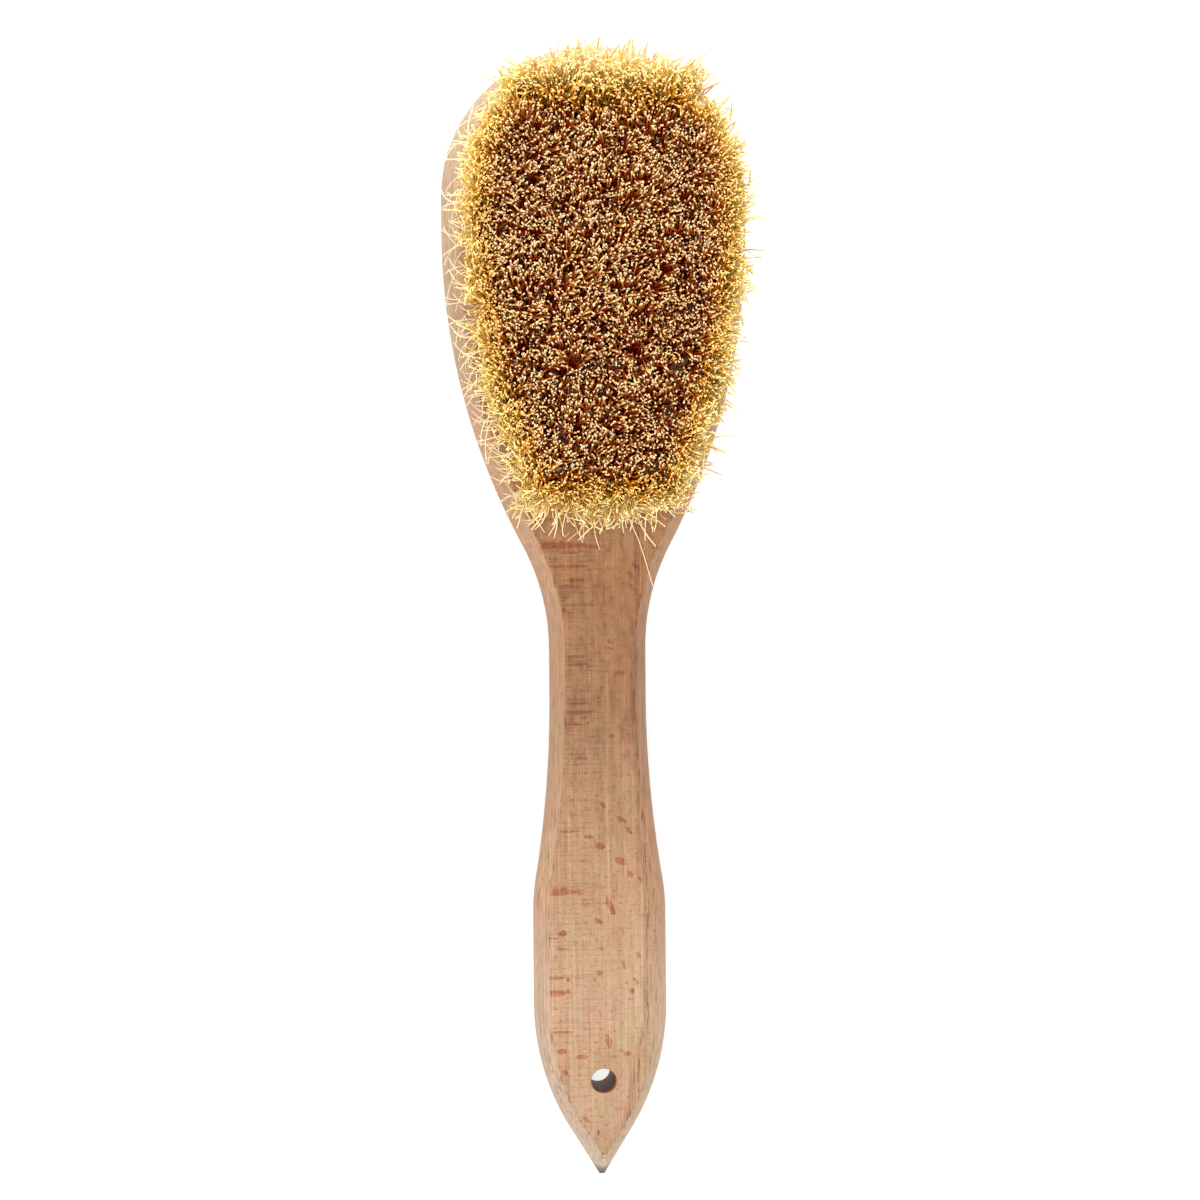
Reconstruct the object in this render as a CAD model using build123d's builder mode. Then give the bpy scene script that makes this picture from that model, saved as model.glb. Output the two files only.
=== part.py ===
from build123d import *
import math
import os

os.makedirs("parts", exist_ok=True)

# A vegetable brush with a handle: a flat beech paddle, drilled and set with tufts of
# plant fibre, each tuft folded round a flat wire anchor that bites into its hole.
# It lies on its back. +Z points to the bristle tips, Y runs along the grain, with the
# round crown of the head at +Y and the pointed end of the handle at -Y. The origin is
# on the back face, halfway along the body. Lengths are in millimetres, angles in degrees.

# Beech body: its outline at half thickness, in order from the crown to the point
head_half_width = 33.8
head_straight = 7.2
side_radius = 147.0
shoulder_radius = 49.0
waist_half_width = 10.7
waist_straight = 10.4
flare_radius = 243.0
belly_radius = 52.0
belly_half_width = 14.7
belly_straight = 19.9
end_radius = 52.0
point_half_angle = 31.8
point_half_width = 0.5

# Beech body: its section, with flat faces and bowed sides
thickness = 16.0
face_inset = 3.0
arris_radius = 0.8

# Hanging hole near the point
hanging_hole_diameter = 5.5
hanging_hole_from_point = 21.7
hanging_hole_chamfer = 0.25

# Tuft holes: blind, in rows across the head whose counts are odd and even by turns
row_count = 15
row_pitch = 5.8
first_row_from_crown = 15.9
tuft_pitch = 6.0
field_margin = 9.7
tuft_hole_diameter = 4.0
tuft_hole_depth = 9.0

# Tufts: a root that fills the hole, and strands that fan out of it
root_clearance = 0.05
strands_per_tuft = 4
strand_sides = 4
strand_root_radius = 0.64
strand_tip_radius = 0.5
strand_root_ring_share = 0.5
strand_tip_ring_radius = 1.75
strand_overlap = 0.6
trim_length = 22.0
rim_splay = 4.0
elbow_height_share = 0.45
elbow_lean_share = 0.3
golden_angle = 137.5

# Wire anchors: flat plates across the grain, wider than the hole they hold in
anchor_thickness = 0.4
anchor_height = 2.4
anchor_bite = 0.4
anchor_lift = 0.8
anchor_web = 0.5

# Turn of each pair of tangent arcs, and the stations where the outline's pieces meet,
# measured along the body from the crown
shoulder_drop = head_half_width - waist_half_width
shoulder_angle = math.degrees(math.acos(1 - shoulder_drop / (side_radius + shoulder_radius)))
shoulder_sine = math.sin(math.radians(shoulder_angle))
flare_rise = belly_half_width - waist_half_width
flare_angle = math.degrees(math.acos(1 - flare_rise / (flare_radius + belly_radius)))
flare_sine = math.sin(math.radians(flare_angle))
point_sine = math.sin(math.radians(point_half_angle))
point_cosine = math.cos(math.radians(point_half_angle))

crown_end = head_half_width
side_start = crown_end + head_straight
side_end = side_start + side_radius * shoulder_sine
waist_start = side_end + shoulder_radius * shoulder_sine
waist_end = waist_start + waist_straight
flare_end = waist_end + flare_radius * flare_sine
belly_start = flare_end + belly_radius * flare_sine
belly_end = belly_start + belly_straight
taper_start = belly_end + end_radius * point_sine
taper_half_width = belly_half_width - end_radius * (1 - point_cosine)
body_length = taper_start + (taper_half_width - point_half_width) * point_cosine / point_sine

crown_y = body_length / 2
point_y = -body_length / 2
hanging_hole_y = point_y + hanging_hole_from_point

tip_height = thickness + trim_length
hole_floor = thickness - tuft_hole_depth
root_radius = tuft_hole_diameter / 2 - root_clearance
field_half_width = head_half_width - field_margin
field_half_length = row_pitch * (row_count - 1) / 2
field_middle_y = crown_y - first_row_from_crown - field_half_length

anchor_width = tuft_hole_diameter + 2 * anchor_bite
anchor_middle = hole_floor + anchor_lift + anchor_height / 2


def draw_outline(inset):
    """Draw the body's outline, moved inwards by the inset, into the open line context."""
    arcs = (
        # middle across, station of the middle, radius, first angle, turn
        (0, crown_end, head_half_width - inset, 90, -90),
        (head_half_width - side_radius, side_start, side_radius - inset, 0, -shoulder_angle),
        (
            waist_half_width + shoulder_radius,
            waist_start,
            shoulder_radius + inset,
            180 - shoulder_angle,
            shoulder_angle,
        ),
        (waist_half_width + flare_radius, waist_end, flare_radius + inset, 180, flare_angle),
        (belly_half_width - belly_radius, belly_start, belly_radius - inset, flare_angle, -flare_angle),
        (belly_half_width - end_radius, belly_end, end_radius - inset, 0, -point_half_angle),
    )
    for middle, station, radius, first_angle, turn in arcs:
        CenterArc((middle, crown_y - station), radius, first_angle, turn)
    straights = (
        (head_half_width - inset, crown_end, side_start),
        (waist_half_width - inset, waist_start, waist_end),
        (belly_half_width - inset, belly_start, belly_end),
    )
    for half_width, first_station, last_station in straights:
        Line((half_width, crown_y - first_station), (half_width, crown_y - last_station))
    taper_x = taper_half_width - inset * point_cosine
    taper_y = crown_y - taper_start + inset * point_sine
    tip_y = taper_y - (taper_x - point_half_width) * point_cosine / point_sine
    Polyline((taper_x, taper_y), (point_half_width, tip_y), (0, tip_y))
    mirror(about=Plane.YZ)


def half_width_at(station, inset):
    """Half the body's width at a station from the crown, inside the given inset."""
    if station < crown_end:
        return math.sqrt((head_half_width - inset) ** 2 - (crown_end - station) ** 2)
    if station < side_start:
        return head_half_width - inset
    if station < side_end:
        across = math.sqrt((side_radius - inset) ** 2 - (station - side_start) ** 2)
        return head_half_width - side_radius + across
    if station < waist_start:
        across = math.sqrt((shoulder_radius + inset) ** 2 - (waist_start - station) ** 2)
        return waist_half_width + shoulder_radius - across
    return waist_half_width - inset


def row_places(row):
    """Centres of one row's tufts, spread evenly from margin to margin of the field.

    The count is the one nearest to the pitch that is odd in the first row, even in the
    second and so on, so that neighbouring rows interlock.
    """
    station = first_row_from_crown + row * row_pitch
    reach = half_width_at(station, field_margin)
    odd = (row + 1) % 2
    count = 2 * round((2 * reach / tuft_pitch + 1 - odd) / 2) + odd
    while count > 3 and 2 * reach / (count - 1) < anchor_width + anchor_web:
        count -= 2
    gaps = max(count, 2) - 1
    return [(reach * (2 * place / gaps - 1), crown_y - station) for place in range(gaps + 1)]


def splayed(x, y):
    """Where a tuft's tip stands: upright in the middle, leaning out towards the rim."""
    x_share = x / field_half_width
    y_share = (y - field_middle_y) / field_half_length
    return x + rim_splay * x_share**3, y + rim_splay * y_share**3


def strand(x, y, direction):
    """One thick strand, from inside its tuft's root up to the trimmed tip."""
    tip_x, tip_y = splayed(x, y)
    root_ring = root_radius * strand_root_ring_share
    widening = strand_tip_ring_radius - root_ring
    narrowing = strand_root_radius - strand_tip_radius
    foot = thickness - strand_overlap
    stages = ((foot, 0), (thickness + trim_length * elbow_height_share, elbow_lean_share), (tip_height, 1))
    with BuildPart() as blade:
        for height, lean_share in stages:
            ring = root_ring + widening * lean_share
            section_x = x + (tip_x - x) * lean_share + ring * math.cos(direction)
            section_y = y + (tip_y - y) * lean_share + ring * math.sin(direction)
            section_radius = strand_root_radius - narrowing * lean_share
            with BuildSketch(Plane.XY.offset(height)):
                with Locations((section_x, section_y)):
                    RegularPolygon(section_radius, strand_sides, rotation=math.degrees(direction))
        loft(ruled=True)
    return blade.part


def row_strands(row):
    """All strands of one row, each tuft's ring turned on from the last one's."""
    strands = []
    for place, (x, y) in enumerate(row_places(row)):
        first_direction = golden_angle * (place + row * row_count)
        for number in range(strands_per_tuft):
            direction = math.radians(first_direction + 360 * number / strands_per_tuft)
            strands.append(strand(x, y, direction))
    return strands


rows = range(row_count)
all_places = [place for row in rows for place in row_places(row)]

# Beech body
with BuildPart() as beech_body:
    for height in (0, thickness / 2, thickness):
        rise_share = 2 * height / thickness - 1
        with BuildSketch(Plane.XY.offset(height)):
            with BuildLine():
                draw_outline(face_inset * rise_share**2)
            make_face()
    loft()
    flat_faces = beech_body.faces().filter_by(Axis.Z)
    fillet(flat_faces.edges(), arris_radius)
    with Locations((0, hanging_hole_y, thickness)):
        Hole(hanging_hole_diameter / 2)
    chamfer(beech_body.edges(Select.LAST).filter_by(GeomType.CIRCLE), hanging_hole_chamfer)
    with Locations(*[(x, y, thickness) for x, y in all_places]):
        Hole(tuft_hole_diameter / 2, tuft_hole_depth)
    with Locations(*[(x, y, anchor_middle) for x, y in all_places]):
        Box(anchor_width, anchor_thickness, anchor_height, mode=Mode.SUBTRACT)
beech_body.part.label = "beech_body"
export_step(beech_body.part, "parts/beech_body.step")

# Rows of tufts, and the anchors that hold them
for row in rows:
    places = row_places(row)
    number = f"{row + 1:02d}"
    strands = row_strands(row)
    with BuildPart() as tuft_row:
        with Locations(*[(x, y, hole_floor) for x, y in places]):
            Cylinder(root_radius, tuft_hole_depth, align=(Align.CENTER, Align.CENTER, Align.MIN))
        with Locations(*[(x, y, anchor_middle) for x, y in places]):
            Box(anchor_width, anchor_thickness, anchor_height, mode=Mode.SUBTRACT)
        add(strands)
    tuft_row.part.label = f"tuft_row_{number}"
    export_step(tuft_row.part, f"parts/tuft_row_{number}.step")

    with BuildPart() as anchor_row:
        with Locations(*[(x, y, anchor_middle) for x, y in places]):
            Box(anchor_width, anchor_thickness, anchor_height)
    anchor_row.part.label = f"anchor_row_{number}"
    export_step(anchor_row.part, f"parts/anchor_row_{number}.step")

strand_total = strands_per_tuft * len(all_places)
print(f"body {body_length:.2f} long, {len(all_places)} tufts in {row_count} rows, {strand_total} strands")
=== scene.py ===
import math

import bpy
import numpy as np
from mathutils import Matrix, Vector


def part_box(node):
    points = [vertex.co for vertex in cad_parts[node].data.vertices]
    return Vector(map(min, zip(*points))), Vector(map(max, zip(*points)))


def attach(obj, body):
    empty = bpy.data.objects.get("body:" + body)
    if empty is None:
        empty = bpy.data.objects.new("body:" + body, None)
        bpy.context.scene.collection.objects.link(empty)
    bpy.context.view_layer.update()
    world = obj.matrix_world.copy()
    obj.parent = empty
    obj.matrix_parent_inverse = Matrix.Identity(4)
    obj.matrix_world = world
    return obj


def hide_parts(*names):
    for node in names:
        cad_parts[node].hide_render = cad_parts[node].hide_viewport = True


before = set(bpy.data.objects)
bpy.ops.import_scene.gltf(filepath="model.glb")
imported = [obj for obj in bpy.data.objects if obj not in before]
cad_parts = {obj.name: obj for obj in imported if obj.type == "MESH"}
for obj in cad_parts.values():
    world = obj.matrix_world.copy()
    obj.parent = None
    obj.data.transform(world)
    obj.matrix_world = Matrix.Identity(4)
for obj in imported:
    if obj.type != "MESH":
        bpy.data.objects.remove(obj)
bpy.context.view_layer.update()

# A vegetable brush lying on its back, bristles up. Lengths are in metres in the row frame:
# +Z to the bristle tips, +Y to the crown of the head, the back face on z = 0.
MM = 0.001

WOOD = "beech_body"
TUFT_ROWS = sorted(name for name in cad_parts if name.startswith("tuft_row"))
ANCHOR_ROWS = sorted(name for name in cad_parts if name.startswith("anchor_row"))

wood_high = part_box(WOOD)[1]
FACE_Z = wood_high.z
TRIM_Z = max(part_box(name)[1].z for name in TUFT_ROWS)
HALF_LENGTH = wood_high.y

# Camera: nearly square to the drilled face, a little from the left, and turned a little in
# its own plane. The photograph's frame is PHOTO_SIZE pixels square.
PHOTO_SIZE = 1200
PIXEL = 0.222 * MM
CAMERA_DISTANCE = 570 * MM
CAMERA_SIDE_ANGLE = math.radians(5.0)
CAMERA_ROLL = math.radians(0.48)
FILM_WIDTH = 36.0
CROWN_ROW = 47.5
CENTRE_COLUMN = 596.7


def add_camera():
    """The camera that gives the photograph's view."""
    centre = Vector(
        (
            (PHOTO_SIZE / 2 - CENTRE_COLUMN) * PIXEL,
            HALF_LENGTH - (PHOTO_SIZE / 2 - CROWN_ROW) * PIXEL,
            FACE_Z / 2,
        )
    )
    back = Vector((-math.sin(CAMERA_SIDE_ANGLE), 0, math.cos(CAMERA_SIDE_ANGLE)))
    up = Vector((math.sin(CAMERA_ROLL), math.cos(CAMERA_ROLL), 0))
    right = up.cross(back).normalized()
    up = back.cross(right)
    data = bpy.data.cameras.new("camera")
    data.sensor_width = FILM_WIDTH
    data.lens = FILM_WIDTH * CAMERA_DISTANCE / (PHOTO_SIZE * PIXEL)
    data.clip_start = 0.01
    camera = bpy.data.objects.new("camera", data)
    camera.matrix_world = Matrix.Translation(centre + back * CAMERA_DISTANCE) @ Matrix(
        (right, up, back)
    ).transposed().to_4x4()
    bpy.context.scene.collection.objects.link(camera)
    bpy.context.scene.camera = camera


# Materials


def new_material(name):
    """An empty node material with its output and one principled shader."""
    material = bpy.data.materials.new(name)
    material.use_nodes = True
    tree = material.node_tree
    return material, tree, tree.nodes["Principled BSDF"]


def add_node(tree, kind, inputs=(), **settings):
    """A node with its settings, and its inputs given by name or number, as values or sockets."""
    node = tree.nodes.new(kind)
    for name, value in settings.items():
        setattr(node, name, value)
    for key, value in dict(inputs).items():
        if isinstance(value, bpy.types.NodeSocket):
            tree.links.new(value, node.inputs[key])
        else:
            node.inputs[key].default_value = value
    return node


def math_node(tree, operation, *values):
    """The output of a math node."""
    return add_node(tree, "ShaderNodeMath", dict(enumerate(values)), operation=operation).outputs[0]


def product(tree, first, *others):
    """The product of values, from left to right."""
    for other in others:
        first = math_node(tree, "MULTIPLY", first, other)
    return first


def mix_colour(tree, share, first, second, blend="MIX"):
    """The output of a colour mix."""
    node = add_node(tree, "ShaderNodeMix", data_type="RGBA", blend_type=blend)
    for key, value in ((0, share), (6, first), (7, second)):
        if isinstance(value, bpy.types.NodeSocket):
            tree.links.new(value, node.inputs[key])
        else:
            node.inputs[key].default_value = value
    return node.outputs[2]


def tinted(tree, colour, tint, share=1.0):
    """A colour multiplied by a tint, in full or by a share."""
    return mix_colour(tree, share, colour, tint, "MULTIPLY")


def ramp(tree, value, *stops):
    """The colour output of a ramp, from (place, grey or colour) stops."""
    node = add_node(tree, "ShaderNodeValToRGB", {0: value})
    elements = node.color_ramp.elements
    while len(elements) < len(stops):
        elements.new(0.5)
    for element, (place, colour) in zip(elements, stops):
        element.position = place
        element.color = colour if len(colour) == 4 else (*colour, 1)
    return node.outputs[0]


def grey(level):
    """An opaque grey."""
    return (level, level, level, 1)


def share_between(tree, value, low, high):
    """How far a value lies on the way from low to high, from 0 to 1."""
    return add_node(tree, "ShaderNodeMapRange", {0: value, 1: low, 2: high}).outputs[0]


def object_space(tree, scale):
    """Object coordinates, scaled along each axis."""
    place = add_node(tree, "ShaderNodeTexCoord").outputs["Object"]
    return add_node(tree, "ShaderNodeMapping", {0: place, 3: scale}).outputs[0]


def noise(tree, scale, detail=2.0, rough=0.5):
    """The factor output of a noise texture, with a scale for each axis."""
    inputs = {"Vector": object_space(tree, scale), "Scale": 1.0, "Detail": detail, "Roughness": rough}
    return add_node(tree, "ShaderNodeTexNoise", inputs).outputs["Fac"]


def ball(tree, place, middle, half_sizes, turn=0.0):
    """1 in the middle of a ball with the given half sizes, falling to 0 at its edge."""
    inputs = {"Vector": place, "Location": middle, "Rotation": (0, 0, turn), "Scale": half_sizes}
    inside = add_node(tree, "ShaderNodeMapping", inputs, vector_type="TEXTURE").outputs[0]
    return add_node(tree, "ShaderNodeTexGradient", {0: inside}, gradient_type="SPHERICAL").outputs["Fac"]


# Ray flecks on the drilled face: middle across and along, half length and half width in
# millimetres, and turn in degrees from straight across. The left ones start at the arris.
FLECKS = (
    (-11.6, 14.2, 11.6, 1.0, 0),
    (-1.6, 13.9, 3.2, 0.45, -4),
    (-6.9, 12.5, 2.4, 0.25, 0),
    (-6.6, 9.6, 5.6, 0.4, 0),
    (-5.4, 6.6, 2.2, 0.6, 0),
    (-6.4, 5.3, 3.0, 0.25, 0),
    (7.9, 9.6, 1.2, 0.5, -38),
    (6.9, 7.6, 1.3, 0.6, -50),
    (7.2, 4.9, 1.2, 0.5, -60),
    (-8.0, 0.1, 0.8, 0.6, 0),
    (1.9, -6.9, 0.5, 0.6, 0),
    (1.9, -8.3, 1.3, 0.3, -20),
    (-5.4, -10.1, 3.4, 0.45, 0),
    (-5.0, -11.9, 2.8, 0.4, 0),
    (4.2, -13.8, 1.4, 0.6, 0),
    (-5.2, -20.4, 4.0, 0.3, 0),
    (-5.0, -22.3, 4.6, 0.55, 0),
    (-5.6, -25.0, 2.6, 0.35, 0),
    (2.4, -27.6, 0.7, 0.6, 0),
    (0.2, -42.6, 1.2, 0.6, -40),
    (4.4, -45.9, 1.3, 0.6, -35),
    (6.0, -48.4, 1.1, 0.5, -50),
    (-7.2, -48.3, 3.4, 0.35, 0),
    (-2.8, -49.6, 1.4, 0.5, 0),
    (-0.4, -51.6, 1.3, 0.8, -20),
    (4.0, -55.0, 1.9, 0.9, -20),
    (6.2, -57.9, 1.1, 0.7, -50),
    (8.3, -59.0, 1.0, 0.4, -55),
    (-11.6, -61.6, 9.6, 0.9, 0),
    (1.8, -64.8, 2.6, 0.75, -63),
    (-0.8, -68.0, 1.2, 0.6, -35),
    (-8.6, -70.6, 0.9, 0.9, 0),
    (-11.4, -71.7, 1.9, 0.3, 0),
    (-9.0, -74.0, 1.4, 0.35, 0),
    (-0.4, -74.1, 0.7, 0.5, -45),
    (7.8, -75.6, 1.0, 0.6, -50),
    (4.6, -77.8, 1.4, 0.4, -70),
    (-0.7, -79.4, 0.7, 0.8, 0),
    (-12.0, -80.3, 5.2, 0.4, 0),
    (-7.7, -80.7, 0.5, 0.6, 0),
    (-12.0, -83.6, 5.4, 0.95, 0),
    (-7.6, -83.3, 0.5, 0.8, 0),
    (7.3, -81.3, 1.1, 0.4, -50),
    (6.4, -83.4, 0.7, 0.6, 0),
    (-8.8, -92.2, 3.0, 0.35, 0),
    (1.2, -94.4, 1.8, 0.8, -75),
    (-9.2, -96.4, 1.2, 0.7, 0),
    (-4.9, -97.7, 1.8, 0.55, 0),
    (5.2, -97.2, 1.0, 0.6, 0),
    (-8.6, -100.9, 0.9, 0.7, -20),
    (-3.8, -111.5, 1.4, 0.5, -40),
    (-1.3, -114.3, 0.4, 0.8, 0),
)

# Where the pale lines between growth rings cross the handle, in millimetres from its middle,
# and how far each fades out to its left and right
GROWTH_LINES = (-11.2, -7.3, -2.5, 1.5, 5.2, 7.4, 9.0, 10.6)
LINE_FADE = (0.25, 0.15)

# The width across which places on the handle are given to ramps, in millimetres
ACROSS_WIDTH = 32

# The hanging hole: its middle, and the half sizes of a ball whose core takes in its wall
HANGING_HOLE = (0.0, -103.17 * MM, FACE_Z / 2)
HOLE_BALL = (3.4 * MM, 3.4 * MM, 1.0)


def fleck_depth(tree, place):
    """How far each point lies inside a ray fleck, from 0 at a fleck's edge."""
    depth = 0.0
    for x, y, half_length, half_width, turn in FLECKS:
        half_sizes = (half_length * MM, half_width * MM, FACE_Z / 2)
        fleck = ball(tree, place, (x * MM, y * MM, FACE_Z), half_sizes, math.radians(turn))
        depth = math_node(tree, "MAXIMUM", depth, fleck)
    return depth


def growth_line_stops():
    """Ramp stops for the pale lines between growth rings, across the drilled face."""
    fade_left, fade_right = LINE_FADE
    stops = []
    for x in GROWTH_LINES:
        for place, level in ((x - fade_left, 0), (x, 1), (x + fade_right, 0)):
            stops.append((0.5 + place / ACROSS_WIDTH, grey(level)))
    return stops


def beech_tone(tree, along, across, flat):
    """The wood's tone on its flat faces and its sides, with its slow changes of hue, and painted shade and
    light at the neck and crown.
    """
    # The flat tone is partly the wood's own and partly painted: darker and redder at the neck as painted
    # shade of the bristles, and pale at the crown as painted light
    flat_tone_light_and_shade = ramp(
        tree,
        along,
        (0.02, (0.33, 0.205, 0.118)),
        (0.05, (0.415, 0.258, 0.152)),
        (0.07, (0.425, 0.274, 0.165)),
        (0.105, (0.418, 0.256, 0.144)),
        (0.14, (0.438, 0.285, 0.172)),
        (0.27, (0.392, 0.229, 0.122)),
        (0.42, (0.325, 0.158, 0.067)),
        (0.53, (0.318, 0.147, 0.055)),
        (0.85, (0.50, 0.33, 0.20)),
        (0.97, (0.58, 0.44, 0.27)),
    )
    # The sides' tone is painted darker at the crown end: painted shade that offsets the crown lamp
    side_tone_and_shade = ramp(
        tree,
        along,
        (0.05, (0.385, 0.290, 0.204)),
        (0.12, (0.455, 0.312, 0.217)),
        (0.27, (0.408, 0.248, 0.140)),
        (0.45, (0.382, 0.208, 0.110)),
        (0.85, (0.410, 0.272, 0.160)),
        (0.95, (0.285, 0.215, 0.130)),
    )
    right_tint = ramp(
        tree,
        along,
        (0.15, (1.04, 1.02, 0.96)),
        (0.3, (0.97, 0.84, 0.72)),
        (0.5, (0.89, 0.84, 0.73)),
        (0.8, (1.05, 1.05, 1.05)),
    )
    right_side = ramp(tree, across, (0.52, grey(0)), (0.7, grey(1)))
    side_tone_and_shade = mix_colour(tree, right_side, side_tone_and_shade, tinted(tree, side_tone_and_shade, right_tint))
    wide = noise(tree, (55, 5, 55), detail=3)
    wide_tint = ramp(tree, wide, (0.3, (0.93, 0.90, 0.87)), (0.5, (1, 1, 1)), (0.7, (1.05, 1.06, 1.07)))
    tone = tinted(tree, mix_colour(tree, flat, side_tone_and_shade, flat_tone_light_and_shade), wide_tint)
    hues = noise(tree, (170, 60, 110))
    hue_tint = ramp(tree, hues, (0.3, (1.04, 0.96, 0.97)), (0.5, (1, 1, 1)), (0.7, (0.97, 1.03, 0.98)))
    tone = tinted(tree, tone, hue_tint)
    mottle = noise(tree, (750, 260, 400), detail=3, rough=0.6)
    mottle_tint = ramp(tree, mottle, (0.30, (0.74, 0.68, 0.64)), (0.5, (1, 1, 1)), (0.70, (1.16, 1.20, 1.24)))
    neck_share = ramp(tree, along, (0.2, grey(0.35)), (0.4, grey(1)))
    return mix_colour(tree, product(tree, neck_share, flat), tone, tinted(tree, tone, mottle_tint))


def growth_rings(tree, across):
    """Where each point lies across the growth rings, and the broken pale lines between them."""
    wander = math_node(tree, "MULTIPLY_ADD", noise(tree, (25, 14, 25), detail=1), 0.07, -0.035)
    ring_place = math_node(tree, "ADD", across, wander)
    line = ramp(tree, ring_place, *growth_line_stops())
    broken = ramp(tree, noise(tree, (300, 70, 50)), (0.38, grey(0.1)), (0.62, grey(1)))
    return ring_place, product(tree, line, broken)


def rays(tree, ring_place, flat):
    """Thin long and short rays that cross the drilled face, most of them on its left."""
    left = ramp(tree, ring_place, (0.42, grey(1)), (0.66, grey(0.25)))
    long_ray = ramp(tree, noise(tree, (70, 2300, 300), detail=1), (0.34, grey(1)), (0.43, grey(0)))
    short_ray = ramp(tree, noise(tree, (330, 2700, 300), detail=1), (0.32, grey(1)), (0.40, grey(0)))
    breaks = ramp(tree, noise(tree, (1500, 700, 50)), (0.35, grey(0.2)), (0.6, grey(1)))
    return product(tree, math_node(tree, "MAXIMUM", long_ray, short_ray), breaks, left, flat)


def flecks(tree, place, flat, line, threads):
    """The placed ray flecks, with small ones between them, cut by growth lines and threads."""
    inside = math_node(tree, "ADD", fleck_depth(tree, place), noise(tree, (900, 1600, 500)))
    large = ramp(tree, inside, (0.58, grey(0)), (0.74, grey(1)))
    cell_inputs = {"Vector": object_space(tree, (130, 330, 90)), "Scale": 1.0, "Randomness": 1.0}
    cells = add_node(tree, "ShaderNodeTexVoronoi", cell_inputs).outputs
    small = ramp(tree, cells["Distance"], (0.13, grey(1)), (0.2, grey(0)))
    chosen = ramp(tree, cells["Color"], (0.66, grey(0)), (0.68, grey(0.45)))
    fleck = math_node(tree, "MAXIMUM", large, product(tree, small, chosen))
    off_line = math_node(tree, "SUBTRACT", 1.0, product(tree, line, 0.75))
    crossed = ramp(tree, threads, (0.36, grey(1)), (0.62, grey(0.7)))
    return product(tree, fleck, flat, off_line, crossed)


def late_wood(tree, along, ring_place, flat):
    """The darker band of late wood on the right, and where dark dashes line up beside it."""
    offset = ramp(
        tree,
        along,
        (0.05, grey(0.12)),
        (0.14, grey(0.27)),
        (0.24, grey(0.29)),
        (0.42, grey(0.20)),
        (0.55, grey(0.23)),
    )
    place = math_node(tree, "SUBTRACT", math_node(tree, "SUBTRACT", ring_place, 0.5), offset)
    band = ramp(tree, place, (0.0, grey(0)), (0.006, grey(1)), (0.09, grey(0.5)), (0.14, grey(0)))
    chain = ramp(
        tree,
        place,
        (0.012, grey(0)),
        (0.025, grey(1)),
        (0.045, grey(1)),
        (0.065, grey(0.2)),
        (0.14, grey(0)),
    )
    arris = ramp(tree, flat, (0.0, grey(0.5)), (0.2, grey(1)), (0.7, grey(1)), (0.95, grey(0)))
    dashes = ramp(tree, noise(tree, (2400, 230, 1700), detail=1), (0.38, grey(1)), (0.46, grey(0)))
    return product(tree, band, flat), product(tree, dashes, math_node(tree, "MAXIMUM", chain, arris))


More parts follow.
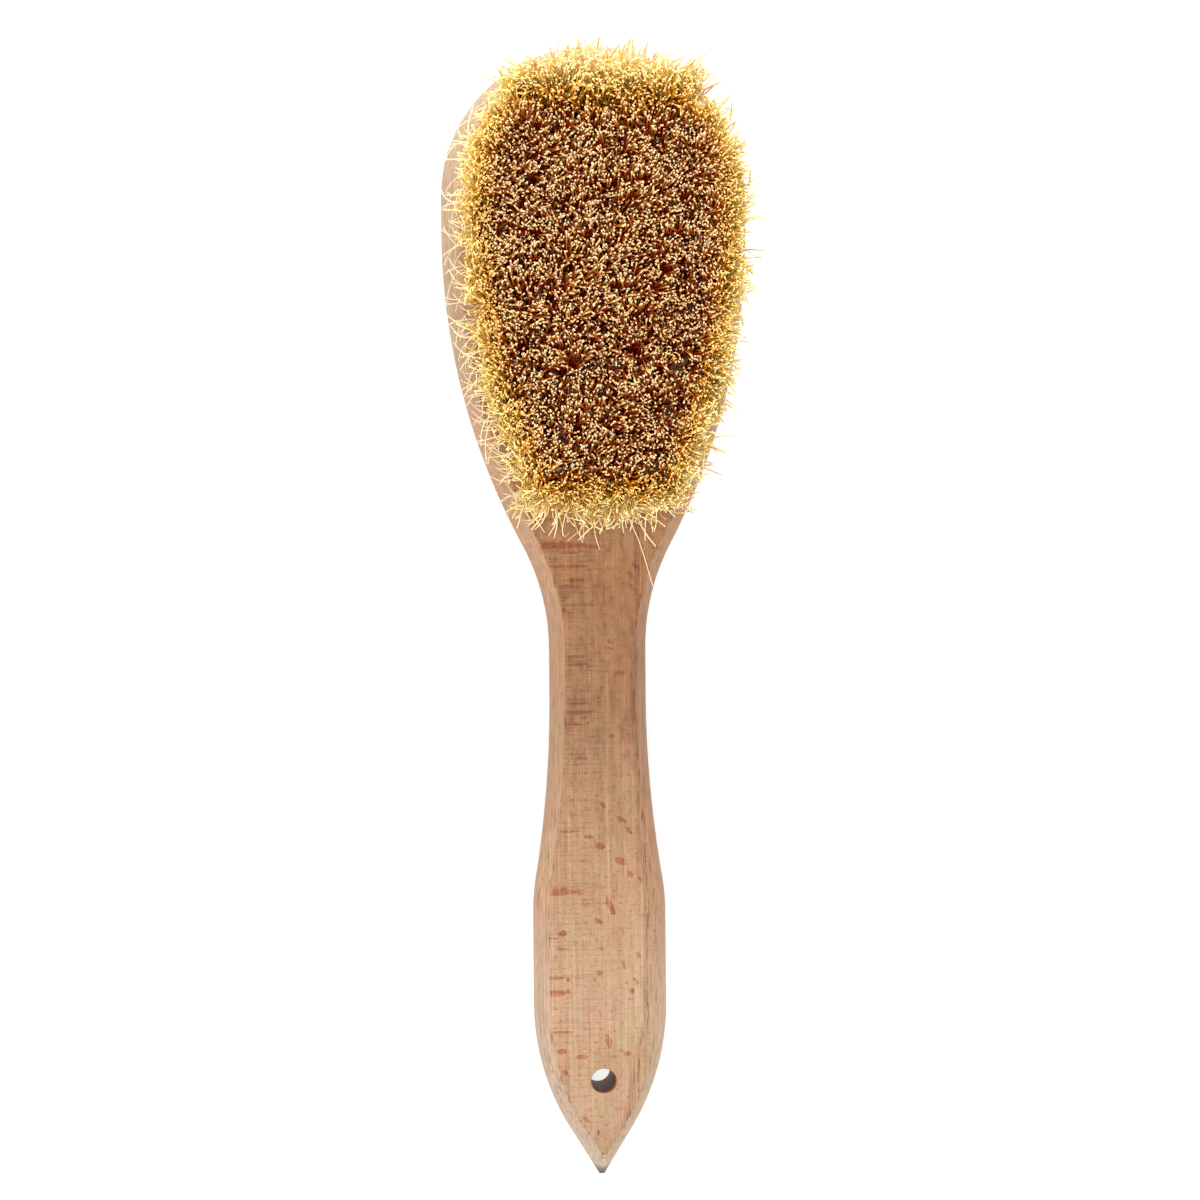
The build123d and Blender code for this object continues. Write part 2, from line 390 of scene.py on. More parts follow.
def beech_material():
    """Steamed quarter-sawn beech: ray flecks on the flat faces, streaks on the bowed sides."""
    material, tree, shader = new_material("beech")
    coordinates = add_node(tree, "ShaderNodeTexCoord")
    place = coordinates.outputs["Object"]
    where = add_node(tree, "ShaderNodeSeparateXYZ", {0: place}).outputs
    facing = add_node(tree, "ShaderNodeSeparateXYZ", {0: coordinates.outputs["Normal"]}).outputs
    flat = ramp(tree, math_node(tree, "ABSOLUTE", facing["Z"]), (0.72, grey(0)), (0.985, grey(1)))
    along = share_between(tree, where["Y"], -HALF_LENGTH, HALF_LENGTH)
    across = share_between(tree, where["X"], -ACROSS_WIDTH / 2 * MM, ACROSS_WIDTH / 2 * MM)
    base = beech_tone(tree, along, across, flat)

    streaks = noise(tree, (1500, 26, 1500), detail=3, rough=0.6)
    streak_stops = (0.34, (0.80, 0.72, 0.66)), (0.46, (0.99, 0.98, 0.97)), (0.66, (1.07, 1.08, 1.10))
    streak_share = math_node(tree, "MULTIPLY_ADD", flat, -0.4, 0.85)
    base = tinted(tree, base, ramp(tree, streaks, *streak_stops), streak_share)
    threads = noise(tree, (4200, 45, 4200), rough=0.6)
    thread_stops = (0.3, (0.84, 0.80, 0.77)), (0.5, (1, 1, 1)), (0.7, (1.12, 1.14, 1.16))
    base = tinted(tree, base, ramp(tree, threads, *thread_stops), 0.9)

    ring_place, line = growth_rings(tree, across)
    line_share = product(tree, line, ramp(tree, along, (0.28, grey(0.8)), (0.42, grey(1))))
    base = mix_colour(tree, line_share, base, tinted(tree, base, (1.30, 1.42, 1.5, 1)))

    ray_levels = ramp(tree, along, (0.28, grey(0.55)), (0.42, grey(0.9)))
    ray_share = product(tree, rays(tree, ring_place, flat), ray_levels)
    base = mix_colour(tree, ray_share, base, tinted(tree, base, (0.60, 0.50, 0.46, 1)))

    fleck_share = product(tree, flecks(tree, place, flat, line, threads), 0.95)
    fleck_tint = ramp(
        tree,
        noise(tree, (260, 330, 200)),
        (0.34, (0.64, 0.27, 0.16)),
        (0.50, (0.76, 0.34, 0.23)),
        (0.60, (0.82, 0.39, 0.25)),
        (0.70, (0.84, 0.47, 0.22)),
    )
    base = mix_colour(tree, fleck_share, base, tinted(tree, base, fleck_tint))

    band, dash = late_wood(tree, along, ring_place, flat)
    base = mix_colour(tree, band, base, tinted(tree, base, (0.84, 0.80, 0.78, 1)))
    base = mix_colour(tree, product(tree, dash, 0.75), base, tinted(tree, base, (0.50, 0.33, 0.24, 1)))
    pore = ramp(tree, noise(tree, (3300, 420, 2400)), (0.30, grey(1)), (0.37, grey(0)))
    base = mix_colour(tree, product(tree, pore, 0.4), base, (0.20, 0.09, 0.045, 1))

    bore = ramp(tree, ball(tree, place, HANGING_HOLE, HOLE_BALL), (0.12, grey(0)), (0.16, grey(1)))
    bore = product(tree, bore, math_node(tree, "SUBTRACT", 1.0, flat))
    # The hanging hole's wall is painted darker towards its right: painted shade
    bore_tone_and_shade = ramp(tree, across, (0.45, (0.44, 0.24, 0.12)), (0.56, (0.28, 0.10, 0.03)))
    base = mix_colour(tree, bore, base, bore_tone_and_shade)
    # Near black at the very point of the handle
    dark_point = ramp(tree, along, (0.0062, grey(0.97)), (0.0115, grey(0)))
    colour = mix_colour(tree, dark_point, base, (0.045, 0.026, 0.018, 1))
    tree.links.new(colour, shader.inputs["Base Color"])
    shader.inputs["Roughness"].default_value = 0.55
    shader.inputs["Specular IOR Level"].default_value = 0.35
    height = math_node(tree, "SUBTRACT", streaks, product(tree, pore, 0.5))
    bump = add_node(tree, "ShaderNodeBump", {"Height": height, "Strength": 0.2, "Distance": 0.1 * MM})
    tree.links.new(bump.outputs[0], shader.inputs["Normal"])
    return material


def fibre_material():
    """Undyed plant fibre with painted light and shade: cream cut tips, partly painted light, pale straw at
    the rim as painted light, and brown where fibres stand dense as painted shade.
    """
    material, tree, shader = new_material("fibre")
    along = add_node(tree, "ShaderNodeAttribute", attribute_name="along").outputs["Fac"]
    rim = add_node(tree, "ShaderNodeAttribute", attribute_name="rim").outputs["Fac"]
    shade = add_node(tree, "ShaderNodeAttribute", attribute_name="shade").outputs["Fac"]
    # Colours by rim share: paler towards the rim as painted light, red and dark inside the field as painted
    # shade
    deep = ramp(
        tree,
        rim,
        (0.36, (1.0, 0.12, 0.012)),
        (0.52, (1.0, 0.24, 0.004)),
        (0.70, (1.0, 0.56, 0.03)),
        (0.88, (1.0, 0.82, 0.24)),
        (1.0, (1.0, 0.83, 0.50)),
    )
    stem = ramp(
        tree,
        rim,
        (0.36, (0.76, 0.33, 0.06)),
        (0.52, (0.88, 0.36, 0.02)),
        (0.70, (0.99, 0.58, 0.06)),
        (0.88, (1.0, 0.83, 0.32)),
        (1.0, (1.0, 0.83, 0.50)),
    )
    tips = ramp(
        tree,
        rim,
        (0.36, (0.83, 0.64, 0.355)),
        (0.52, (0.83, 0.57, 0.23)),
        (0.70, (0.94, 0.66, 0.21)),
        (0.88, (1.0, 0.83, 0.38)),
        (1.0, (1.0, 0.83, 0.56)),
    )
    # Below their upper part the fibres take the deep colour: painted shade low in the field
    side = mix_colour(tree, ramp(tree, along, (0.80, grey(0)), (0.92, grey(1))), deep, stem)
    # Cream cut tips: partly the fibre's own cut ends, partly painted light
    cut = ramp(tree, along, (0.955, grey(0)), (0.985, grey(1)))
    colour = mix_colour(tree, cut, side, tips)
    fibre_tint = ramp(
        tree,
        shade,
        (0.0, (0.60, 0.40, 0.24)),
        (0.15, (0.74, 0.62, 0.36)),
        (0.3, (0.86, 0.80, 0.80)),
        (0.45, (0.90, 0.86, 0.64)),
        (0.65, (0.98, 0.90, 0.86)),
        (0.8, (0.96, 0.98, 0.82)),
        (1.0, (1.0, 0.97, 0.96)),
    )
    tree.links.new(tinted(tree, colour, fibre_tint), shader.inputs["Base Color"])
    shader.inputs["Roughness"].default_value = 0.45
    return material


def wire_material():
    """Drawn steel wire, with fine lines along it."""
    material, tree, shader = new_material("anchor_wire")
    lines = noise(tree, (300, 300, 9000), detail=3)
    colour = ramp(tree, lines, (0.3, (0.42, 0.42, 0.41)), (0.7, (0.62, 0.62, 0.60)))
    tree.links.new(colour, shader.inputs["Base Color"])
    tree.links.new(ramp(tree, lines, (0, grey(0.3)), (1, grey(0.5))), shader.inputs["Roughness"])
    shader.inputs["Metallic"].default_value = 1.0
    return material


# Bristles: a tuft's fibres rise from its hole and spread until their tips fill its cell of the
# field. Those at the rim lean out, most of all towards the handle.

# Fibres per tuft, inner and rim: those cut level, and those that end lower down
LEVEL_FIBRES = (54, 155)
SHORT_FIBRES = (38, 135)
LEVEL_DROP = (0.0, 0.3 * MM)
SHORT_DROP = (2.0 * MM, 9.0 * MM)
FIBRE_SIDES = 4
FIBRE_STAGE_SHARES = (0, 0.3, 0.55, 0.75, 0.87, 0.925, 0.955, 0.98, 1)
FIBRE_RADIUS_SHARES = (0.8, 1.15)
LEVEL_RADIUS = 0.185 * MM
SHORT_RADIUS = 0.21 * MM
TURN_PER_SHADE = 40.0
HOLE_RADIUS = 2.0 * MM
HOLE_FILL_SHARE = 0.92
ROOT_SINK = 1.5 * MM
CELL_SPREAD_SHARE = 1.15
TIP_SCATTER = 0.75 * MM
TUFT_LEAN = 0.35 * MM
FIBRE_BOW = 0.35 * MM
RIM_BOW_GAIN = 2
LEAN_POWER = 1.5

# The hook at a fibre's end: its usual and longest reach, its spread, and where it starts
TIP_HOOK = 0.7 * MM
LONGEST_HOOK = 2.6 * MM
HOOK_SPREAD = 0.55
HOOK_TURN_SPREAD = 1.0
RIM_HOOK_GAIN = 0.7
HOOK_START = 0.87
HOOK_POWER = 1.2

# The rim: how deep it is, how far its fibres lean out on each side, how it thins, and how it pales as painted
# light
RIM_TUFT_DEPTH = 1 * MM
RIM_DEPTH = 4.8 * MM
MOST_RIM_SHARE = 1.2
WAY_ROUNDING = 2 * MM
LEFT_SPLAY = 1.7 * MM
RIGHT_SPLAY = 2.6 * MM
CROWN_SPLAY = 4.8 * MM
NECK_SPLAY = 5.4 * MM
UPPER_LEFT_SPLAY = -2.3 * MM
UPPER_RIGHT_SPLAY = -1.6 * MM
LOWER_LEFT_SPLAY = -0.4 * MM
LOWER_RIGHT_SPLAY = -1.2 * MM
SPLAY_SHARES = (0.8, 1.1)
RIM_SCATTER = 1.1 * MM
RIM_THINNING_DEPTH = 2.3 * MM
NECK_THINNING = 0.22
# How deep the rim's painted light reaches into the field, and how pale it is painted: palest at the crown and
# neck, less on the left
TONE_DEPTH = 5.6 * MM
CROWN_TONE_GAIN = 0.75
SIDE_TONE_LOSS = 0.2
PALEST_TONE = 0.9
END_TONE_GAIN = 0.08
LEFT_TONE_LOSS = 0.06

# Partings among the tips: middle across and along, and reach, in millimetres
PARTINGS = (
    (6.6, 55.2, 2.4),
    (8.4, 53.4, 1.8),
    (-7.0, 52.4, 2.2),
    (-9.2, 51.0, 1.6),
    (-3.5, 70.8, 1.5),
    (13.0, 72.3, 1.4),
    (-14.3, 79.8, 1.5),
    (-15.4, 91.0, 1.4),
)
PARTING_PUSH = 1.1 * MM
PARTING_HOOK = 0.9 * MM
LEAST_PARTING_GAP = 0.1 * MM

# Stray fibres that hang out of the rim
STRAYS_PER_RIM_TUFT = (7, 20)
STRAY_STAGES = 14
STRAY_RADIUS = 0.11 * MM
STRAY_RADIUS_SHARES = (0.8, 1.3)
STRAY_SHADES = (0.26, 0.38)
CORNER_GAIN = 2.5

# The strays' reach out of the rim, and the heights of their bend and end above the drilled
# face, each from least to most in millimetres, and how far they swing aside
STRAY_REACH = (3.5, 8.0)
STRAY_BEND = (9.0, 17.0)
STRAY_END = (0.6, 9.0)
LEFT_STRAY_REACH = 2.6 * MM
STRAY_SWING = 2.5 * MM
STRAY_LOOP = 6.5 * MM
STRAY_START_LEAN = 1.5 * MM
STRAY_RISE = 1.1
STRAY_BEND_SHARE = 0.7


def tuft_centres(anchor_row):
    """The middle of each anchor of a row, which is where its tuft stands."""
    points = np.array([vertex.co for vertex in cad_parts[anchor_row].data.vertices])
    edges = sorted(set(np.round(points[:, 0], 6)))
    middles = [(edges[i] + edges[i + 1]) / 2 for i in range(0, len(edges), 2)]
    return np.array([(x, points[:, 1].mean()) for x in middles])


def field_outline(rows):
    """The corners of the field, clockwise from the crown's right-hand tuft."""
    return np.array([row[-1] for row in rows] + [row[0] for row in reversed(rows)])


def rim_distance(points, outline):
    """How far points lie outside the outline, negative inside, and the way out of it."""
    edge = np.roll(outline, -1, axis=0) - outline
    length = np.linalg.norm(edge, axis=1)
    outward = np.stack([-edge[:, 1], edge[:, 0]], axis=1) / length[:, None]
    offset = points[:, None] - outline
    share = np.clip(np.sum(offset * edge, axis=2) / length**2, 0, 1)
    gap = offset - share[..., None] * edge
    distance = np.linalg.norm(gap, axis=2)
    nearest = distance.argmin(axis=1)
    each = np.arange(len(points))
    side = np.sign(np.sum(gap[each, nearest] * outward[nearest], axis=1))
    weight = (distance + WAY_ROUNDING) ** -4
    way = np.sum(outward * weight[..., None], axis=1)
    way /= np.linalg.norm(way, axis=1, keepdims=True)
    return side * distance[each, nearest], way


def tube_parts(paths, radii, turn, cells, cell_start):
    """Corners, faces, smooth flags and unwrapped corners of closed tubes along paths."""
    count, rings = paths.shape[:2]
    ahead = np.gradient(paths, axis=1)
    ahead /= np.linalg.norm(ahead, axis=2, keepdims=True)
    side = np.stack([np.cos(turn), np.sin(turn), np.zeros(count)], axis=1)
    corners = np.empty((count, rings, FIBRE_SIDES, 3))
    for ring in range(rings):
        side = side - ahead[:, ring] * np.sum(side * ahead[:, ring], axis=1, keepdims=True)
        side /= np.linalg.norm(side, axis=1, keepdims=True)
        other = np.cross(ahead[:, ring], side)
        for corner in range(FIBRE_SIDES):
            angle = math.tau * corner / FIBRE_SIDES
            reach = radii[:, ring, None] * (side * math.cos(angle) + other * math.sin(angle))
            corners[:, ring, corner] = paths[:, ring] + reach
    index = np.arange(count * rings * FIBRE_SIDES).reshape(count, rings, FIBRE_SIDES)
    following = np.roll(index, -1, axis=2)
    walls = np.stack([index[:, :-1], following[:, :-1], following[:, 1:], index[:, 1:]], axis=-1)
    ends = np.stack([index[:, 0, ::-1], index[:, -1]], axis=1)
    faces = np.concatenate([walls.reshape(count, -1, 4), ends], axis=1)
    smooth = np.ones(faces.shape[:2], bool)
    smooth[:, -2:] = False
    places = unwrapped(count, rings, cells, cell_start)
    return corners.reshape(-1, 3), faces.reshape(-1, 4), smooth.ravel(), places.reshape(-1, 2)


def unwrapped(count, rings, cells, cell_start):
    """Each fibre's own cell of the unwrapped square: its sides abreast, its ends above them."""
    corners = np.array(((0, 0), (1, 0), (1, 1), (0, 1)))
    fill_share = 0.9
    places = np.empty((count, (rings - 1) * FIBRE_SIDES + 2, 4, 2))
    for ring in range(rings - 1):
        for side in range(FIBRE_SIDES):
            places[:, ring * FIBRE_SIDES + side] = (corners + (side, ring)) / (FIBRE_SIDES, rings)
    for end in range(2):
        places[:, end - 2] = (corners + (end, rings - 1)) / (2, rings)
    number = np.arange(cell_start, cell_start + count)
    cell = np.stack([number % cells, number // cells], axis=1)
    return (cell[:, None, None, :] + places * fill_share) / cells


def fibre_mesh(name, groups):
    """One mesh of groups of fibres, each given as paths, radii, stages, shades and rim shares."""
    total = sum(len(paths) for paths, *_ in groups)
    cells = math.ceil(math.sqrt(total))
    parts, along, shade, rim = [], [], [], []
    corner_start = cell_start = 0
    for paths, radii, stages, shades, rims in groups:
        corners, faces, smooth, places = tube_parts(paths, radii, shades * TURN_PER_SHADE, cells, cell_start)
        parts.append((corners, faces + corner_start, smooth, places))
        shape = (*paths.shape[:2], FIBRE_SIDES)
        along.append(np.broadcast_to(np.asarray(stages)[None, :, None], shape).ravel())
        shade.append(np.broadcast_to(shades[:, None, None], shape).ravel())
        rim.append(np.broadcast_to(rims[:, None, None], shape).ravel())
        corner_start += len(corners)
        cell_start += len(paths)
    corners, faces, smooth, places = (np.concatenate(part) for part in zip(*parts))
    mesh = bpy.data.meshes.new(name)
    mesh.vertices.add(len(corners))
    mesh.vertices.foreach_set("co", corners.ravel())
    mesh.loops.add(faces.size)
    mesh.loops.foreach_set("vertex_index", faces.ravel())
    mesh.polygons.add(len(faces))
    mesh.polygons.foreach_set("loop_start", np.arange(len(faces)) * 4)
    mesh.polygons.foreach_set("use_smooth", smooth)
    mesh.update(calc_edges=True)
    for attribute_name, values in (("along", along), ("shade", shade), ("rim", rim)):
        attribute = mesh.attributes.new(attribute_name, "FLOAT", "POINT")
        attribute.data.foreach_set("value", np.concatenate(values).astype(np.float32))
    mesh.uv_layers.new(name="OFBake").data.foreach_set("uv", places.ravel())
    mesh.validate()
    return mesh


def tuft_fibres(centres, row_gap, outline, random, counts, drops, radius):
    """Upright fibres of one row of tufts, whose tips lie the drops' range below the trim."""
    at_rim = rim_distance(centres, outline)[0] > -RIM_TUFT_DEPTH
    half_cell = np.array([centres[1, 0] - centres[0, 0], row_gap]) / 2
    leans = random.normal(0, TUFT_LEAN, centres.shape)
    turns = random.uniform(0, math.tau, len(centres))
    owner = np.repeat(np.arange(len(centres)), np.where(at_rim, counts[1], counts[0]))
    cell = random.uniform(-1, 1, (len(owner), 2))
    place = centres[owner] + cell * half_cell * CELL_SPREAD_SHARE
    inside = -rim_distance(place, outline)[0]
    thinned = np.clip(1 - inside / RIM_THINNING_DEPTH, counts[0] / counts[1], 1)
    kept = random.uniform(0, 1, len(owner)) < np.where(at_rim[owner], thinned, 1)
    owner, cell, place = owner[kept], cell[kept], place[kept]
    count = len(owner)
    disc = cell * np.sqrt(1 - cell[:, ::-1] ** 2 / 2)
    root = centres[owner] + disc * HOLE_RADIUS * HOLE_FILL_SHARE
    spread = place + leans[owner] + random.normal(0, TIP_SCATTER, (count, 2))
    outside, way = rim_distance(spread, outline)
    left, right = np.maximum(-way[:, 0], 0), np.maximum(way[:, 0], 0)
    lower, upper = np.maximum(-way[:, 1], 0), np.maximum(way[:, 1], 0)
    splay = (
        LEFT_SPLAY * left**2
        + RIGHT_SPLAY * right**2
        + CROWN_SPLAY * upper**2
        + NECK_SPLAY * lower**2
        + 2 * UPPER_LEFT_SPLAY * upper * left
        + 2 * UPPER_RIGHT_SPLAY * upper * right
        + 2 * LOWER_LEFT_SPLAY * lower * left
        + 2 * LOWER_RIGHT_SPLAY * lower * right
    )
    share = np.clip((outside + RIM_DEPTH) / (RIM_DEPTH + half_cell[1]), 0, MOST_RIM_SHARE)
    out = splay * share**2 * random.uniform(*SPLAY_SHARES, count)
    aside = RIM_SCATTER * share**2 * random.normal(0, 1, count)
    tip = spread + way * out[:, None] + np.stack([-way[:, 1], way[:, 0]], axis=1) * aside[:, None]
    parted = np.zeros_like(tip)
    for x, y, reach in PARTINGS:
        gap = tip - np.array((x, y)) * MM
        distance = np.linalg.norm(gap, axis=1, keepdims=True) + LEAST_PARTING_GAP
        parted += gap / distance * np.exp(-((distance / (reach * MM)) ** 2))
    lean = tip + parted * PARTING_PUSH - root
    length = TRIM_Z - FACE_Z + ROOT_SINK - random.uniform(*drops, count)
    rise = np.sqrt(length**2 - np.sum(lean**2, axis=1))
    stage = np.array(FIBRE_STAGE_SHARES)[None, :, None]
    bow = random.normal(0, 1, (count, 2)) * (FIBRE_BOW * (1 + RIM_BOW_GAIN * share**2))[:, None]
    turn = turns[owner] + random.normal(0, HOOK_TURN_SPREAD, count)
    hook_reach = np.minimum(TIP_HOOK * random.lognormal(0, HOOK_SPREAD, count), LONGEST_HOOK)
    hook_reach = hook_reach * (1 + RIM_HOOK_GAIN * share**2)
    hook = np.stack([np.cos(turn), np.sin(turn)], axis=1) * hook_reach[:, None] + parted * PARTING_HOOK
    curl = np.clip((stage - HOOK_START) / (1 - HOOK_START), 0, 1) ** HOOK_POWER
    flat = root[:, None] + lean[:, None] * stage**LEAN_POWER
    flat = flat + bow[:, None] * np.sin(math.pi * stage) + hook[:, None] * curl
    height = FACE_Z - ROOT_SINK + rise[:, None] * stage[:, :, 0]
    paths = np.concatenate([flat, height[:, :, None]], axis=2)
    radii = radius * random.uniform(*FIBRE_RADIUS_SHARES, (count, 1)) * np.ones((1, len(FIBRE_STAGE_SHARES)))
    radii *= 1 - NECK_THINNING * (lower * share**2)[:, None]
    # How pale each fibre is painted by its place at the rim: painted light, most at the crown and neck, least
    # on the left
    ends = PALEST_TONE + END_TONE_GAIN * np.maximum(lower, upper) - LEFT_TONE_LOSS * left
    tone_depth = TONE_DEPTH * (1 + CROWN_TONE_GAIN * upper**2 - SIDE_TONE_LOSS * way[:, 0] ** 2)
    rims = np.clip((outside + tone_depth) / (tone_depth + half_cell[1]), 0, 1) * ends
    return paths, radii, FIBRE_STAGE_SHARES, random.uniform(0, 1, count), rims


def stray_fibres(centres, outline, random):
    """Thin fibres that bend over out of the rim tufts of one row and end near the wood."""
    outside, way = rim_distance(centres, outline)
    at_rim = outside > -RIM_TUFT_DEPTH
    least, most = STRAYS_PER_RIM_TUFT
    corner = np.maximum(-way[at_rim, 0], 0) * np.maximum(-way[at_rim, 1], 0)
    numbers = (least + (most - least) * np.minimum(CORNER_GAIN * corner, 1)).astype(int)
    root = np.repeat(centres[at_rim], numbers, axis=0)
    out = np.repeat(way[at_rim], numbers, axis=0)
    count = len(root)
    sideways = np.stack([-out[:, 1], out[:, 0]], axis=1)
    reach = random.uniform(*STRAY_REACH, count) * MM + LEFT_STRAY_REACH * np.maximum(-out[:, 0], 0)
    swing = random.normal(0, STRAY_SWING, count)
    end = root + out * reach[:, None] + sideways * swing[:, None]
    drop = FACE_Z + random.uniform(*STRAY_END, count) * MM
    top = FACE_Z + random.uniform(*STRAY_BEND, count) * MM
    first = np.concatenate([root, np.full((count, 1), FACE_Z - ROOT_SINK)], axis=1)
    second = np.concatenate([root + out * STRAY_START_LEAN, (top * STRAY_RISE)[:, None]], axis=1)
    loop = random.normal(0, STRAY_LOOP, count)
    bend = root + out * (reach * STRAY_BEND_SHARE)[:, None] + sideways * loop[:, None]
    third = np.concatenate([bend, top[:, None]], axis=1)
    last = np.concatenate([end, drop[:, None]], axis=1)
    t = np.linspace(0, 1, STRAY_STAGES)[None, :, None]
    paths = (
        first[:, None] * (1 - t) ** 3
        + 3 * second[:, None] * t * (1 - t) ** 2
        + 3 * third[:, None] * t**2 * (1 - t)
        + last[:, None] * t**3
    )
    radii = STRAY_RADIUS * random.uniform(*STRAY_RADIUS_SHARES, (count, 1)) * np.ones((1, STRAY_STAGES))
    # Strays get the palest rim share: pale straw as painted light
    return paths, radii, t.ravel(), random.uniform(*STRAY_SHADES, count), np.ones(count)


# Long fibres that bend down over the neck: thickness in millimetres, then the places across and
# along that each passes from the rim to its end
WISPS = (
    (0.30, (-9.5, 19.6), (-11.2, 16.3)),
    (0.30, (-9.5, 19.6), (-10.0, 15.8)),
    (0.26, (-8.9, 17.7), (-8.1, 15.4), (-6.3, 17.7)),
    (0.30, (-3.4, 19.2), (-5.1, 17.1), (-3.7, 14.8)),
    (0.34, (0.2, 20.1), (-3.7, 16.6), (-4.8, 15.2)),
    (0.22, (-2.2, 18.0), (-0.1, 13.3)),
    (0.30, (1.7, 20.6), (1.8, 18.9)),
    (0.30, (4.0, 20.4), (5.2, 16.8)),
    (0.30, (4.9, 20.4), (5.8, 18.0)),
    (0.24, (5.5, 20.1), (7.5, 16.6), (9.3, 12.2), (11.5, 5.2)),
    (0.34, (7.8, 19.5), (9.6, 16.6), (12.2, 13.9)),
    (0.30, (6.9, 20.6), (6.6, 17.1)),
    (0.32, (9.3, 20.6), (9.9, 15.1)),
    (0.32, (10.4, 21.2), (11.6, 16.8)),
    (0.32, (11.6, 22.1), (12.2, 19.5), (11.9, 17.1)),
    (0.32, (13.4, 22.4), (16.6, 20.2)),
    (0.28, (14.5, 23.9), (17.4, 22.1)),
    (0.26, (-19.8, 30.6), (-21.9, 27.4)),
    (0.26, (-17.8, 25.3), (-20.4, 24.8), (-22.2, 23.3)),
    (0.28, (-15.7, 23.0), (-18.4, 22.7), (-20.7, 21.5)),
    (0.26, (-17.5, 22.4), (-17.8, 18.9), (-18.2, 18.0)),
    (0.32, (-13.4, 20.6), (-15.7, 18.6)),
    (0.32, (-12.8, 20.4), (-15.0, 17.6)),
    (0.30, (-12.2, 19.8), (-14.2, 17.7)),
)
WISP_STAGES = 16
WISP_SHADE = 0.36
WISP_ROUNDINGS = 3

# Heights of a wisp above the drilled face, in millimetres: where it bends over, and its first
# and last place. Its bend lies on the way from its tuft to its first place.
WISP_BEND_HEIGHT = 11
WISP_HEIGHTS = (8.0, 1.5)
WISP_BEND_SHARE = 0.3


def placed_wisps(centres, every_centre):
    """The long fibres over the neck that grow from the tufts of one row."""
    paths, radii = [], []
    for thickness, *places in WISPS:
        start = np.array(places[0]) * MM
        nearest = every_centre[np.linalg.norm(every_centre - start, axis=1).argmin()]
        if not np.any(np.all(np.isclose(centres, nearest), axis=1)):
            continue
        heights = FACE_Z + np.linspace(*WISP_HEIGHTS, len(places)) * MM
        bend = nearest * (1 - WISP_BEND_SHARE) + start * WISP_BEND_SHARE
        points = [(*nearest, FACE_Z - ROOT_SINK), (*bend, FACE_Z + WISP_BEND_HEIGHT * MM)]
        points += [(x * MM, y * MM, z) for (x, y), z in zip(places, heights)]
        path = np.array(points)
        for _ in range(WISP_ROUNDINGS):
            # Cut each corner off a quarter of the way along the edges that meet in it
            here, there = path[:-1], path[1:]
            inner = np.stack([here * 0.75 + there * 0.25, here * 0.25 + there * 0.75], axis=1)
            path = np.concatenate([path[:1], inner.reshape(-1, 3), path[-1:]])
        steps = np.linalg.norm(np.diff(path, axis=0), axis=1)
        run = np.concatenate([[0], np.cumsum(steps)]) / steps.sum()
        stages = np.linspace(0, 1, WISP_STAGES)
        paths.append(np.stack([np.interp(stages, run, path[:, axis]) for axis in range(3)], axis=1))
        radii.append(np.full(WISP_STAGES, thickness / 2 * MM))
    if not paths:
        return []
    count = len(paths)
    # Wisps get the palest rim share: pale straw as painted light
    return [(np.array(paths), np.array(radii), stages, np.full(count, WISP_SHADE), np.ones(count))]


FIRST_SEED = 100


def add_bristles(material):
    """One piece of fibres for each row of tufts."""
    rows = [tuft_centres(name) for name in ANCHOR_ROWS]
    outline = field_outline(rows)
    row_gap = rows[0][0, 1] - rows[1][0, 1]
    every_centre = np.concatenate(rows)
    for number, (tufts, centres) in enumerate(zip(TUFT_ROWS, rows)):
        random = np.random.default_rng(FIRST_SEED + number)
        tuft = (centres, row_gap, outline, random)
        groups = [
            tuft_fibres(*tuft, LEVEL_FIBRES, LEVEL_DROP, LEVEL_RADIUS),
            tuft_fibres(*tuft, SHORT_FIBRES, SHORT_DROP, SHORT_RADIUS),
            stray_fibres(centres, outline, random),
        ]
        groups += placed_wisps(centres, every_centre)
        mesh = fibre_mesh(tufts + "_fibres", groups)
        mesh.materials.append(material)
        piece = bpy.data.objects.new(tufts + "_fibres", mesh)
        bpy.context.scene.collection.objects.link(piece)
        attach(piece, "root")
        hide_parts(tufts)


# Stage and light: the floor lies just clear of the back face

FLOOR_REACH = 3.0
FLOOR_Z = -0.3 * MM

# The floor's colour where it is seen, and the glow that whitens it there, and its colour for
# the light that it throws back on the brush
FLOOR_SEEN = 0.3
FLOOR_GLOW = 0.76
FLOOR_BOUNCE = 0.8

# Soft square lights: name, place, target, size and power
LIGHTS = (
    ("left", (-1.05, 0.05, 0.42), (0, 0, 0), 0.7, 7.3),
    ("right", (1.05, 0.05, 0.42), (0, 0, 0), 0.7, 3.9),
    ("crown", (0, 1.05, 0.26), (0, 0.06, 0), 0.45, 27.0),
    ("handle", (0, -1.05, 0.27), (0, 0, 0), 0.5, 10.5),
    ("top", (-0.1, 0, 1.05), (0, 0, 0), 0.3, 5.0),
)
SKY_STRENGTH = 0.28


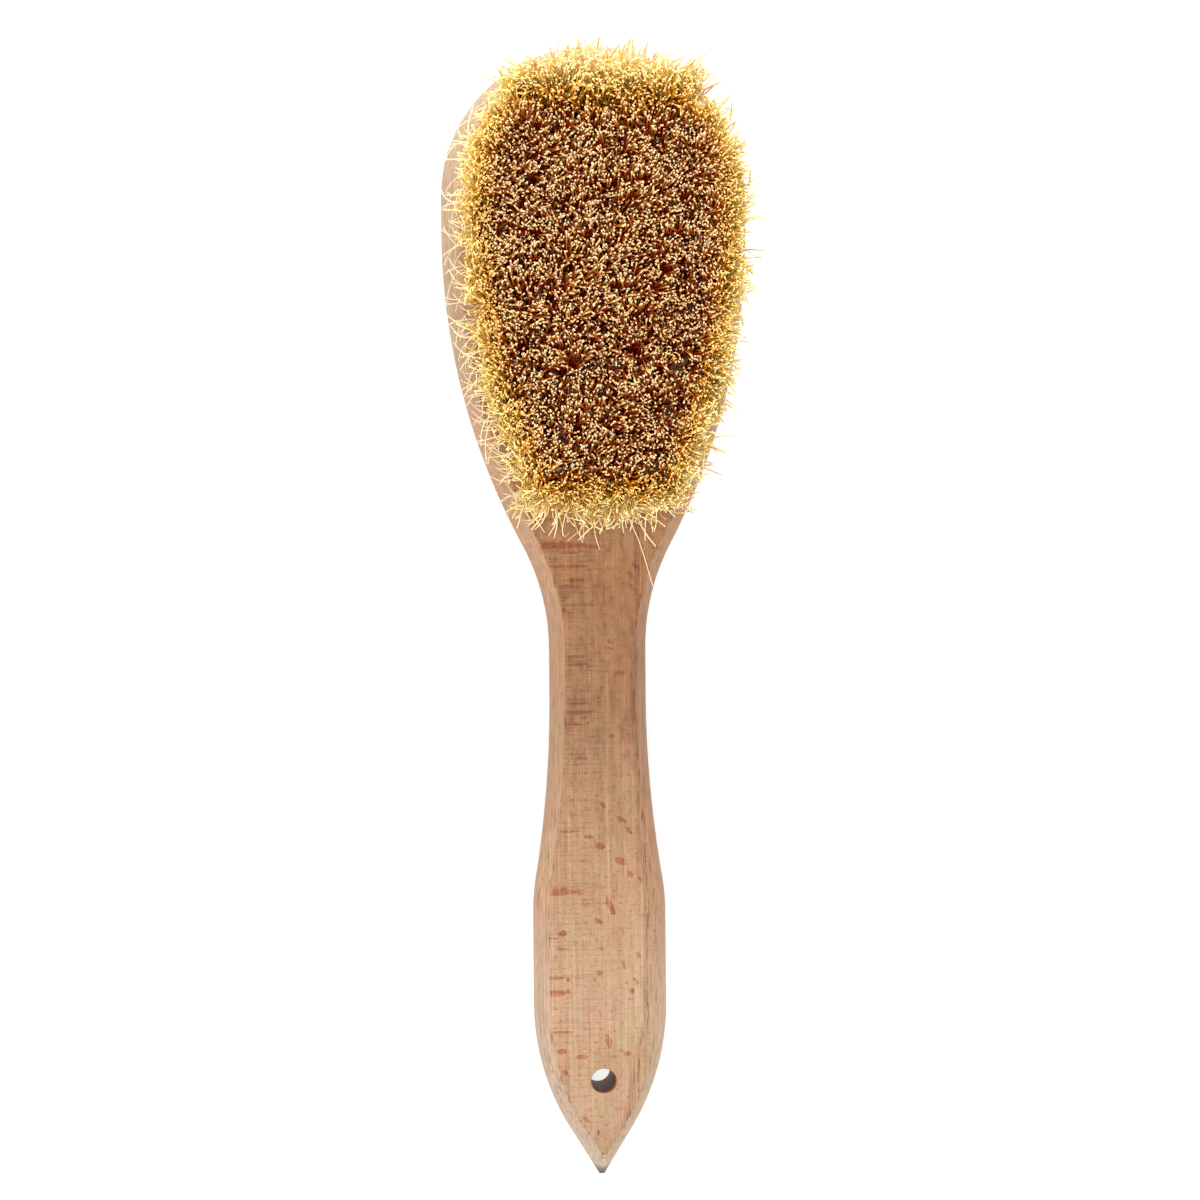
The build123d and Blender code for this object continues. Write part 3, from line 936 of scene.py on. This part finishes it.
def add_floor():
    """A plain pale floor, white where it is lit, that keeps the object's shadow."""
    corners = ((-1, -1), (1, -1), (1, 1), (-1, 1))
    mesh = bpy.data.meshes.new("floor")
    mesh.from_pydata([(x * FLOOR_REACH, y * FLOOR_REACH, FLOOR_Z) for x, y in corners], [], [(0, 1, 2, 3)])
    floor = bpy.data.objects.new("floor", mesh)
    bpy.context.scene.collection.objects.link(floor)
    material, tree, shader = new_material("floor")
    shader.inputs["Roughness"].default_value = 1.0
    shader.inputs["Specular IOR Level"].default_value = 0.0
    path = add_node(tree, "ShaderNodeLightPath").outputs
    seen = math_node(tree, "MAXIMUM", path["Is Camera Ray"], path["Is Glossy Ray"])
    seen = math_node(tree, "MAXIMUM", seen, path["Is Transmission Ray"])
    tree.links.new(mix_colour(tree, seen, grey(FLOOR_BOUNCE), grey(FLOOR_SEEN)), shader.inputs["Base Color"])
    shader.inputs["Emission Color"].default_value = grey(1.0)
    tree.links.new(product(tree, seen, FLOOR_GLOW), shader.inputs["Emission Strength"])
    mesh.materials.append(material)


def add_area_light(name, place, target, size, power):
    """A square soft light that points at its target."""
    data = bpy.data.lights.new(name, "AREA")
    data.shape = "SQUARE"
    data.size = size
    data.energy = power
    light = bpy.data.objects.new(name, data)
    light.location = place
    light.rotation_euler = (Vector(target) - Vector(place)).to_track_quat("-Z", "Y").to_euler()
    bpy.context.scene.collection.objects.link(light)


def add_lights():
    """The lights, and an even pale sky."""
    for light in LIGHTS:
        add_area_light(*light)
    world = bpy.data.worlds.new("world")
    world.use_nodes = True
    sky = world.node_tree.nodes["Background"].inputs
    sky["Color"].default_value = grey(1.0)
    sky["Strength"].default_value = SKY_STRENGTH
    bpy.context.scene.world = world


def dress_cad(node_name, material):
    """Give a CAD node its finish."""
    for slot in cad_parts[node_name].material_slots:
        slot.material = material


add_camera()
dress_cad(WOOD, beech_material())
wire = wire_material()
for name in ANCHOR_ROWS:
    dress_cad(name, wire)
add_bristles(fibre_material())
add_floor()
add_lights()
bpy.context.scene.view_settings.view_transform = "Standard"
